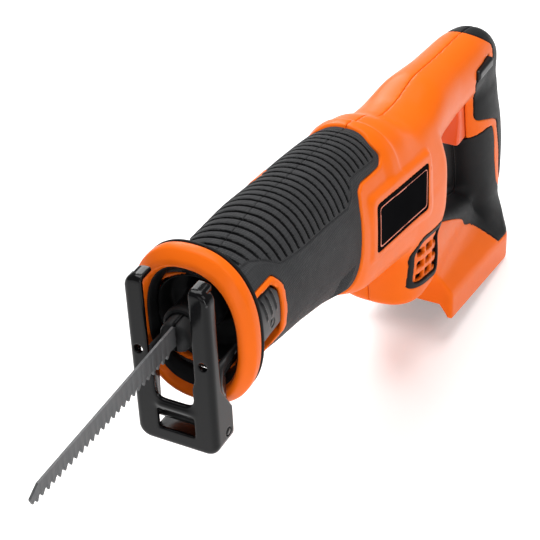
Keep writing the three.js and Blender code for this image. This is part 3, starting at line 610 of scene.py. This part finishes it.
def grip_region(g, side):
    """Where the front grip's rubber lies. On the left it keeps clear of the lever's window."""
    region = side_shape(g, GRIP_EDGE, 2.0)
    return cut(region, window(g, 3.2), 1.0) if side == 1 else region


def floor_patch(g):
    """The rubber on the floor of the hand opening, running out to the foot's rear corners."""
    widening = 3.6 * np.log1p(np.exp((-201 - g.x) / 3))
    half = 15.6 + widening
    crease = 19.6 + FOOT_SLOPE * (g.x - SKIRT_REAR)
    patch = blend_max((np.abs(g.y) - half.astype(np.float32)) * 0.7, crease - g.z, 1.0)
    top = np.interp(g.x, [-232, -222], [44, 96]).astype(np.float32)
    front = -133
    return np.maximum(patch, np.maximum(g.x - front, (g.z - top) * 0.5))


def foot_bay(g):
    """The battery's bay under the foot, with the arch at its front end."""
    side = np.abs(g.y)
    level = above_base(g)
    room = np.maximum(np.maximum(side - 27.5, level - 13), g.x - FOOT_FRONT + 4)
    haunch = ((side - 28) * 7.3 + (level - 2) * 5) / math.hypot(7.3, 5)
    arch = np.maximum(np.maximum(haunch, level - 9.3), np.maximum(side - 28, FOOT_FRONT - 5 - g.x))
    return np.minimum(room, arch)


def trigger_gate(g, grow=0.0):
    """The opening that the trigger slides in."""
    return block(g, (-222, -9, 102), (-180, 8.3 + grow, 132), 0.5)


def lock_off_hole(g, grow=0.0):
    """The hole through the handle for the lock-off button."""
    return block(g, (-216.3 - grow, -50, 151.2 - grow), (-191.7 + grow, 50, 158.8 + grow), 0.8)


def vent_slots(g):
    """Nine leaning slots through the louvres."""
    slots = np.full((1, 1, 1), 1e3, np.float32)
    for x in (-109.5, -98, -86.5):
        for z in (76, 84.8, 93.6):
            middle = z + 0.22 * (x + 87)  # each row climbs towards the front
            sheared = [(x - 4.6, middle - 3.4), (x + 4.6, middle - 1.4),
                       (x + 4.6, middle + 3.2), (x - 4.6, middle + 1.2)]
            slots = np.minimum(slots, side_shape(g, sheared, 0.5))
    return np.maximum(slots, 14 - g.y)


def housing(side):
    """One half of the clamshell. Side is 1 for the left and -1 for the right; fields use the left."""
    g = Grid((-267, -1.4, -2.7), (124.2, 35, 213), 0.9)
    form = hull(g)
    solid = form.copy()

    # The wall steps in under each rubber, and the rooms inside step in with it.
    bed = SKIN + 0.3
    rooms = form + WALL
    for region in (grip_region(g, side), side_shape(g, REAR_EDGE, 2.0), side_shape(g, PALM_EDGE, 2.0),
                   floor_patch(g)):
        solid = cut(solid, np.maximum(region - 0.2, -(form + SKIN + 0.2)), 0.5)
        rooms = np.maximum(rooms, -(region - WALL))
    rooms = np.minimum(rooms, form + bed + WALL)
    solid = cut(solid, rooms, 0.3)

    boss, hole, head_hole, head_depth = 4.4, 2.1, 3.9, 2.4
    for x, z, head, tip in SCREWS:
        solid = np.minimum(solid, np.maximum(rod_y(g, x, z, boss), form + bed))
        solid = cut(solid, np.maximum(rod_y(g, x, z, hole), g.y - tip - 1), 0.2)
        if side == -1:
            solid = cut(solid, np.maximum(rod_y(g, x, z, head_hole), -g.y - head - head_depth), 0.3)

    plate = side_shape(g, BADGE, 1.6)
    solid = cut(solid, np.maximum(plate - 0.3, -(form + 1.5)), 0.4)

    outer = 12 - g.y  # keeps the louvres in the flank
    vent = side_shape(g, VENT, 3.0)
    solid = cut(solid, np.maximum(np.maximum(vent - 0.3, -(form + 2.0)), outer), 0.4)
    louvre = np.maximum(np.maximum(np.maximum(vent + 2.4, form + 1.1), -(form + WALL + 1.6)), outer)
    solid = cut(np.minimum(solid, louvre), vent_slots(g), 0.6)

    if side == 1:
        solid = cut(solid, np.maximum(window(g, 0), 5 - g.y), 0.6)
    mouth_radius, mouth_rear = 24.2, 60
    solid = cut(solid, np.maximum(rod_x(g, 0, 180, mouth_radius), mouth_rear - g.x), 0.4)
    solid = cut(solid, trigger_gate(g), 0.6)
    solid = cut(solid, lock_off_hole(g), 0.5)
    solid = cut(solid, foot_bay(g), 0.5)
    # The bay's arch meets the room above it here, and would leave a loose flake of wall.
    solid = np.maximum(solid, -block(g, (-132.6, -5, 33.2), (-129.9, 19.4, 43.2)))

    parting = np.maximum(np.abs(g.x + 90) - 0.35, np.abs(g.z - 142) - 10)
    solid = cut(solid, np.maximum(np.maximum(parting, -(form + 0.5)), 15 - g.y), 0.3)
    solid = np.maximum(solid, g.x - NOSE_X)
    solid = np.maximum(solid, SEAM - g.y)
    node = sided("housing", side)
    return place_piece(field_object(node + "_shell", g, solid, side == -1), node)


def groove_phase(x, y, z):
    """Distance along the grip to the nearest groove's middle."""
    sweep = x - 0.0045 * y ** 2 + 0.02 * (STROKE_Z + 20 - z)
    return np.abs(((sweep / GROOVE_PITCH) % 1) - 0.5) * GROOVE_PITCH


def ribbed(g, form):
    """The rubber's outer surface on the front grip: its grooves, the line round them, and the
    dotted surface below, which lies a little deeper."""
    ribs = side_shape(g, RIB_EDGE, 1.2)
    groove = GROOVE * step_down(groove_phase(g.x, g.y, g.z) - 0.7, 0.14)
    ribbing = step_down(ribs + 1.3, 0.25)
    outline = 0.9 * np.exp(-((ribs + 0.1) / 0.55) ** 2)
    sink = 0.6 * step_down(0.9 - ribs, 0.35)
    return form + groove * ribbing + outline + sink


def without_screws(g, solid, side):
    """Leaves room for the screws' heads, which are all on the right."""
    if side == 1:
        return solid
    for x, z, _, _ in SCREWS:
        solid = cut(solid, rod_y(g, x, z, 4.1), 0.4)
    return solid


def front_grip(side):
    """The ribbed rubber over the front of the tool, with a hatched patch low on its flank."""
    g = Grid((-46, -1.2, 107), (123.6, 34, 213.2), 0.5)
    form = hull(g)
    hatch = np.maximum(np.abs(g.x - 16) - 9, np.abs(g.z - 131) - 14)
    fin_pitch, fin_depth = 3.6, 1.3
    fins = fin_depth * (0.5 + 0.5 * np.cos((g.x + g.z * 0.5) * 2 * math.pi / fin_pitch))
    solid = ribbed(g, form) + fins * step_down(hatch + 0.8, 0.4)
    solid = cut(solid, form + SKIN, 0.2)
    solid = blend_max(solid, grip_region(g, side) + 0.15, 0.9)
    solid = without_screws(g, solid, side)
    solid = np.maximum(solid, g.x - NOSE_X)
    solid = np.maximum(solid, SEAM - g.y)
    node = sided("front_grip", side)
    rubber = place_piece(field_object(node + "_rubber", g, solid, side == -1), node, DOTTED)

    # The faces at the bottom of the grooves get a darker black: painted shade in those recesses.
    rubber.data.materials.append(GROOVE_PAINTED_SHADE)
    middles = np.empty(len(rubber.data.polygons) * 3, np.float32)
    rubber.data.polygons.foreach_get("center", middles)
    x, y, z = middles.reshape(-1, 3).T / MM
    spot = np.round((np.stack([x, np.abs(y), z], 1) - np.array(g.low)) / g.step).astype(int)
    spot = tuple(np.clip(spot, 0, [len(a) - 1 for a in g.axes]).T)
    ribs = side_shape(g, RIB_EDGE, 1.2)[:, 0][spot[0], spot[2]]
    inner_side = -1.9
    low = (groove_phase(x, y, z) < 0.85) & (ribs < -1) & (form[spot] > inner_side)
    rubber.data.polygons.foreach_set("material_index", low.astype(np.int32))
    return rubber


def rear_rubbers(side):
    """The rubber over the back of the handle, and the palm grip with the floor patch."""
    g = Grid((-267, -1.2, 12), (-126, 33, 180), 0.66)
    form = hull(g)
    skin = cut(form - 0.2, form + SKIN, 0.2)
    room = 0.3
    rear, palm = side_shape(g, REAR_EDGE, 2.0), side_shape(g, PALM_EDGE, 2.0)
    palm = blend_min(palm, floor_patch(g), 1.0)
    for name, region in (("rear_overmould", rear), ("palm_grip", palm)):
        solid = blend_max(skin, region - 0.35, 0.7)
        solid = cut(solid, trigger_gate(g, room), 0.5)
        solid = cut(solid, lock_off_hole(g, room), 0.5)
        solid = cut(solid, foot_bay(g) - room, 0.4)
        solid = without_screws(g, solid, side)
        solid = np.maximum(solid, SEAM - g.y)
        node = sided(name, side)
        place_piece(field_object(node + "_rubber", g, solid, side == -1), node)


def badge(side):
    """The plain black plate on a flank, and the thin border line on it."""
    g = Grid((-88, 20, 121), (-12, 35, 173), 0.42)
    form = hull(g)
    outline = side_shape(g, BADGE, 1.6)
    solid = blend_max(form - 0.15, -(form + 1.2), 0.2)
    solid = blend_max(solid, outline - 0.4, 0.3)
    node = sided("badge", side)
    place_piece(field_object(node + "_plate", g, solid, side == -1), node, PLATE)
    inset, half_width = 2.6, 0.42
    line = np.maximum(np.abs(outline + inset) - half_width, np.maximum(form - 0.28, -(form + 0.6)))
    dress(field_object(node + "_border", g, line, side == -1), TRIM, BODY_OF[node])


def vent_frame(side):
    """The black rim of the louvres, and the dust screen behind them, a dark sheet that also paints the
    shade inside the slots.
    """
    g = Grid((-121, 12, 57), (-70, 33, 110), 0.45)
    form = hull(g)
    outline = side_shape(g, VENT, 3.0)
    solid = blend_max(form - 0.5, -(form + 1.8), 0.6)
    solid = blend_max(solid, outline - 0.7, 0.7)
    solid = cut(solid, outline + 2.7, 0.7)
    # A black sheet close behind the slots, which also paints the shade inside them.
    screen = np.maximum(np.maximum(form + 4.9, -(form + 5.9)), outline + 1.0)
    node = sided("vent_frame", side)
    return place_piece(field_object(node + "_rim", g, np.minimum(solid, screen), side == -1), node)


def nose_ring():
    """The rounded orange ring, from x, half width and half height all round its section. Its mouth
    grows squarer towards the inside."""
    outer = [(122.4, 31.0, 42.0), (122.6, 32.2, 43.2), (123.3, 32.8, 43.8), (124.4, 33.0, 44.0),
             (127.6, 32.9, 43.9), (128.4, 32.7, 43.6), (129.2, 32.1, 43.0), (131.8, 29.6, 40.3),
             (132.4, 28.9, 39.5), (132.8, 27.9, 38.5), (132.9, 26.8, 37.4), (132.6, 25.7, 36.4)]
    mouth = [(131.8, 24.9, 35.6, 2.35), (130.2, 24.3, 34.6, 2.4), (127.0, 23.6, 32.6, 2.45),
             (124.8, 22.9, 30.6, 2.5), (122.9, 22.6, 29.6, 2.6), (122.4, 23.0, 29.9, 2.6)]
    rings = [oval(x, RING_Z, w, h, 2.3) for x, w, h in outer]
    rings += [oval(x, RING_Z, w, h, n) for x, w, h, n in mouth]
    return place_piece(loft("nose_ring_finished", rings), "nose_ring")


def nose_gasket():
    """The thin black lip between the ring and the grip."""
    outer = [(120.0, 32.4, 43.0), (120.6, 33.0, 43.5), (121.5, 33.0, 43.5), (121.9, 32.4, 42.9)]
    rings = [oval(x, RING_Z, w, h, 2.3) for x, w, h in outer]
    rings += [oval(x, RING_Z - 1, 30.2, 29.6, 2.3) for x in (121.9, 119.9)]
    return place_piece(loft("nose_gasket_finished", rings), "nose_gasket")


def nose_boot_and_shade():
    """Black boot that lines the nose behind the ring and closes it round the plunger. As a dark
    piece it also paints the shade inside the nose.
    """
    profile = [(121.7, 23.9), (121.7, 23.2), (112, 22.6), (110.6, 21.8), (110.2, 20.4), (109.6, 14.6),
               (108.6, 13.4), (88, 12.8), (84.2, 12.5), (84.2, 13.6), (108, 14.4), (108.6, 21),
               (109.2, 23.4), (110.2, 23.9)]
    neck = 16  # narrower loops than this are centred on the plunger
    rings = [[(x, r * float(c), (STROKE_Z if r < neck else RING_Z + 1) + r * float(s))
              for c, s in zip(*turns(96))] for x, r in profile]
    return dress(loft("nose_boot_and_shade", rings), RUBBER, "tool_body")


def mouth_shade_lining():
    """Black inner wall of the ring's mouth; this thin dark sheet also paints the shade inside the mouth."""
    thick = 0.5
    walls = [(122.6, 22.5, 29.5), (125, 22.8, 30.5), (127.2, 23.5, 32.5), (129.6, 24.1, 34.2)]
    rings = [oval(x, RING_Z, w, h, 2.5) for x, w, h in walls]
    rings += [oval(x, RING_Z, w - thick, h - thick, 2.5) for x, w, h in walls[::-1]]
    return dress(loft("mouth_shade_lining", rings), RUBBER, "tool_body")


def accent():
    """Small orange inlay in the right grip's ribs."""
    g = Grid((12, 12, 180), (36, 33, 206), 0.45)
    form = hull(g)
    outline = side_shape(g, [(15.5, 186), (17.5, 199), (32.5, 201), (31, 188)], 1.5)
    solid = blend_max(blend_max(form - 0.35, -(form + 1.6), 0.4), outline, 0.8)
    return dress(field_object("accent_right", g, solid, True), ORANGE, "tool_body")


def lever():
    """The blade release: a ridged face with a ring mark, and the arm that reaches inside."""
    g = Grid((92, 15, 166), (119, 34, 198), 0.4)
    form = hull(g)
    outline = side_shape(g, [(96.2, 169.5), (117, 169.5), (117, 193.2), (100.8, 192.2), (96.2, 187.4)], 1.0)
    ridges = np.full((1, 1, 1), 0, np.float32)
    for x in (101.5, 106.5, 111.5):
        shape = np.exp(-((g.x - x - 0.12 * (g.z - 186)) / 0.6) ** 2)
        ridges = ridges + 0.9 * shape * step_down(180 - g.z, 0.5) * step_down(g.z - 190.5, 0.5)
    mark = np.abs(rod_y(g, 106, 175.5, 2.1)) - 0.4
    solid = form + 1.1 - ridges
    solid = cut(solid, np.maximum(mark, -(form + 1.5)), 0.2)
    solid = cut(solid, form + 3.4, 0.3)
    solid = blend_max(solid, outline, 0.8)
    arm = block(g, (99, 19.9, 181), (107, 27, 188), 0.6)
    solid = blend_min(solid, arm, 0.6)
    return place_piece(field_object("release_lever_finished", g, solid), "release_lever")


def shoe():
    """The shoe: a tall tray, open at the back, with rounded corners and a slot for the blade."""
    low, high = box_mm("shoe")
    g = Grid((low[0] - 1.2, -23.4, low[2] - 1.4), (high[0] + 1.2, 23.4, high[2] + 1.4), 0.45)
    corner, wall = 7.0, 2.4
    side = np.abs(g.y)
    middle, half = (low[2] + high[2]) / 2, (high[2] - low[2]) / 2
    over_y = side - high[1] + corner
    over_z = np.abs(g.z - middle) - half + corner
    bend = np.sqrt(np.maximum(over_y, 0) ** 2 + np.maximum(over_z, 0) ** 2) - corner
    rim = bend + np.minimum(np.maximum(over_y, over_z), 0)
    outer = blend_max(rim, g.x - high[0], 3.4)
    inner = blend_max(rim + wall, g.x - high[0] + wall, 1.8)
    solid = cut(outer, inner, 0.4)

    # How far back the side walls reach at each height, with the lip below and the hooks on top.
    depth = np.interp(g.z, [low[2], 126, 144, 160, 214, high[2]], [136, 134.6, 134.6, 144, 144, 144])
    depth = depth.astype(np.float32)
    lip = np.maximum(side - 16, g.z - 132)
    hook = np.maximum(np.maximum(11.9 - side, side - 19), 210 - g.z)
    depth = np.where(lip < 0, 129.8, depth)
    depth = np.where(hook < 0, 140.6, depth)
    solid = blend_max(solid, depth - g.x, 0.6)

    # Gaps beside the lip and the hooks, the blade's slot, the small window, and the holes.
    gap_low = np.maximum(np.maximum(15.8 - side, side - 19.4), np.maximum(g.z - 130, g.x - 147))
    gap_high = np.maximum(np.maximum(18.8 - side, side - 19.5), np.maximum(212 - g.z, g.x - 146))
    solid = cut(solid, gap_low, 0.5)
    solid = cut(solid, gap_high, 0.4)
    width = np.interp(g.z, [150, 162, 168, 230], [10.4, 10.4, 12, 12]).astype(np.float32)
    slot = blend_max(side - width, 150 - g.z, 6.0)
    solid = cut(solid, slot, 0.9)
    view = blend_max(side - 10, np.abs(g.z - 138) - 6, 1.5)
    ridge = 0.9 * np.exp(-((g.z - 147) / 1.9) ** 2) * step_down(side - 9.5, 0.8)
    solid = solid - ridge * (g.x > 147)
    solid = cut(solid, view, 0.7)
    for y in (-17, 17):
        solid = cut(solid, rod_x(g, y, 177, 2.3), 0.5)
    solid = cut(solid, rod_y(g, 140, 132, 2.3), 0.4)
    return place_piece(field_object("shoe_finished", g, solid), "shoe")


def saw_blade():
    """Flat blade with its teeth six to the inch, set slightly to left and right in turn."""
    half, pitch, depth = 0.6, 25.4 / 6, 2.5
    back = np.array([(126, 189), (143, 189), (146.5, 191.8), (TIP_X - 6.5, 189.2), (TIP_X - 0.1, 185.4)])
    edge = [(126, 180.2, 0), (144, 180.2, 0)]
    for i, x in enumerate(np.arange(TIP_X - 4, 150, -pitch)[::-1]):
        z = 178 + 3 * (x - 148) / 110  # the line of teeth rises towards the tip
        lean = 0.12 if i % 2 else -0.12
        edge += [(x - 2.9, z + depth, 0), (x - 1.9, z + depth * 0.8, 0), (x - 0.7, z + 0.1, lean),
                 (x, z, lean), (x + 0.25, z + depth, 0)]
    edge = np.array(edge + [(TIP_X - 1.2, 181.9, 0), (TIP_X - 0.1, 184.6, 0)])
    stations = np.unique(np.concatenate([back[:, 0], edge[:, 0]]))
    top = np.interp(stations, back[:, 0], back[:, 1])
    low = np.interp(stations, edge[:, 0], edge[:, 1])
    lean = np.interp(stations, edge[:, 0], edge[:, 2])
    places = []
    for x, a, b, set_over in zip(stations, low, top, lean):
        places += [(x, set_over - half, a), (x, -half, b), (x, half, b), (x, set_over + half, a)]
    faces = [(4 * i + k, 4 * i + (k + 1) % 4, 4 * i + 4 + (k + 1) % 4, 4 * i + 4 + k)
             for i in range(len(stations) - 1) for k in range(4)]
    last = 4 * len(stations)
    faces += [(3, 2, 1, 0), (last - 4, last - 3, last - 2, last - 1)]
    obj = place_piece(facing_out(mesh_object("saw_blade_finished", places, faces)), "saw_blade")
    shade(obj, False)
    return obj


def trigger():
    """The trigger, with its hollow finger face towards the front."""
    low, high = box_mm("trigger")
    g = Grid((low[0] - 1, -9.2, low[2] - 1), (high[0] + 1.2, 9.2, high[2] + 1), 0.42)
    top, bottom, back = 131.4, 102.8, -211.8
    outline = [(-190.6, top), (-192.8, 122), (-192.6, 113), (-190.8, bottom), (back, bottom), (back, top)]
    solid = blend_max(side_shape(g, outline, 1.4), np.abs(g.y) - 7.9, 2.4)
    return place_piece(field_object("trigger_finished", g, solid), "trigger")


def lock_off():
    """The rounded bar of the lock-off button, which shows on both flanks."""
    low, high = box_mm("lock_off_button")
    g = Grid([v - 1.2 for v in low], [v + 1.2 for v in high], 0.45)
    inset = [0.1, 1.0, 0.1]
    solid = block(g, [v + d for v, d in zip(low, inset)], [v - d for v, d in zip(high, inset)], 2.0)
    return place_piece(field_object("lock_off_finished", g, solid), "lock_off_button")


def screw(node):
    """Pan head with a six-lobed socket, and a plain shank."""
    x, z, top, tip = screw_line(node)
    count = 48

    def circle(y, radius, lobes=0.0):
        turn = np.linspace(0, 2 * math.pi, count, endpoint=False)
        r = radius + lobes * np.cos(6 * turn)
        return [(x + float(a), y, z + float(b)) for a, b in zip(r * np.cos(turn), r * np.sin(turn))]

    socket = [circle(top + 1.6, 0.05), circle(top + 1.5, 1.35, 0.28), circle(top + 0.15, 1.5, 0.3)]
    head = [circle(top, 1.7, 0.3), circle(top, 2.6), circle(top + 0.4, 3.3), circle(top + 1.2, 3.5),
            circle(top + 2.1, 3.5)]
    shank = [circle(top + 2.2, 1.8), circle(tip - 1.5, 1.8), circle(tip, 0.05)]
    rings = socket + head + shank
    places = [p for ring in rings for p in ring]
    faces = []
    for i in range(len(rings) - 1):
        near, far = i * count, (i + 1) * count
        for k in range(count):
            m = (k + 1) % count
            faces.append((near + k, far + k, far + m, near + m))
    faces.append(list(range(count))[::-1])
    faces.append([(len(rings) - 1) * count + k for k in range(count)])
    return place_piece(facing_out(mesh_object(node + "_finished", places, faces)), node)


for hand in (1, -1):
    housing(hand)
    front_grip(hand)
    rear_rubbers(hand)
    badge(hand)
    vent_frame(hand)
nose_ring()
nose_gasket()
nose_boot_and_shade()
mouth_shade_lining()
accent()
lever()
shoe()
saw_blade()
trigger()
lock_off()
for screw_node in SCREW_NODES:
    screw(screw_node)
EDGE_WIDTH = 0.35
refined("shoe_bracket", EDGE_WIDTH)
refined("shoe_pivot_pin", EDGE_WIDTH, MATERIALS["black_paint"])
for clamp_node in ("blade_clamp", "clamp_collar"):
    refined(clamp_node, EDGE_WIDTH, RUBBER)


# ---------------------------------------------------------------- stage, lights and camera

def stage():
    """A wide pale floor, half a millimetre under the tool, that glows a little."""
    work = bmesh.new()
    bmesh.ops.create_grid(work, x_segments=2, y_segments=2, size=3.0)
    mesh = bpy.data.meshes.new("floor")
    work.to_mesh(mesh)
    work.free()
    floor = linked("floor", mesh)
    floor.location.z = cad_box[0].z - 0.5 * MM
    pale = finish_of("floor", (0.93, 0.93, 0.93), 0.7, mottle=0.01)
    shader = pale.node_tree.nodes["Principled BSDF"]
    shader.inputs["Emission Color"].default_value = (1, 1, 1, 1)
    shader.inputs["Emission Strength"].default_value = 0.25
    floor.data.materials.append(pale)


def light(name, place, size, power, target):
    """A white area light turned towards its target."""
    data = bpy.data.lights.new(name, "AREA")
    data.shape = "RECTANGLE"
    data.size, data.size_y = size
    data.energy = power
    lamp = linked(name, data)
    lamp.location = place
    lamp.rotation_euler = (Vector(target) - Vector(place)).to_track_quat("-Z", "Y").to_euler()


def aim(camera, target, distance, azimuth, elevation, roll):
    """Places the camera round its target. Azimuth 0 looks along +Y, and 90 along -X."""
    turn = Matrix.Rotation(math.radians(azimuth), 4, "Z")
    tilt = Matrix.Rotation(math.radians(90 - elevation), 4, "X")
    lean = Matrix.Rotation(math.radians(roll), 4, "Z")
    step_back = Matrix.Translation((0, 0, distance))
    camera.matrix_world = Matrix.Translation(target) @ turn @ tilt @ lean @ step_back


stage()
centre = (cad_box[0] + cad_box[1]) / 2
light("key", (0.2, 1.1, 1.3), (0.9, 0.7), 5, centre)
light("front", (1.5, 0.3, 0.7), (0.8, 0.8), 2.5, centre)
light("strip", (0.9, 0.9, 0.25), (0.12, 0.9), 4.0, centre)
light("top", (-0.3, -0.2, 1.6), (1.4, 1.0), 25, centre)
light("rim", (-1.2, -0.9, 0.9), (0.6, 0.9), 12, centre)

world = bpy.data.worlds.new("studio")
bpy.context.scene.world = world
world.use_nodes = True
world.node_tree.nodes["Background"].inputs["Color"].default_value = (1, 1, 1, 1)
world.node_tree.nodes["Background"].inputs["Strength"].default_value = 0.28
bpy.context.scene.view_settings.view_transform = "Standard"

lens = bpy.data.cameras.new("camera")
lens.sensor_width = 36
lens.lens = 106.67
camera = linked("camera", lens)
aim(camera, (0.0515, 0, 0.162), distance=0.8111, azimuth=118.55, elevation=35.21, roll=-2.64)
bpy.context.scene.camera = camera
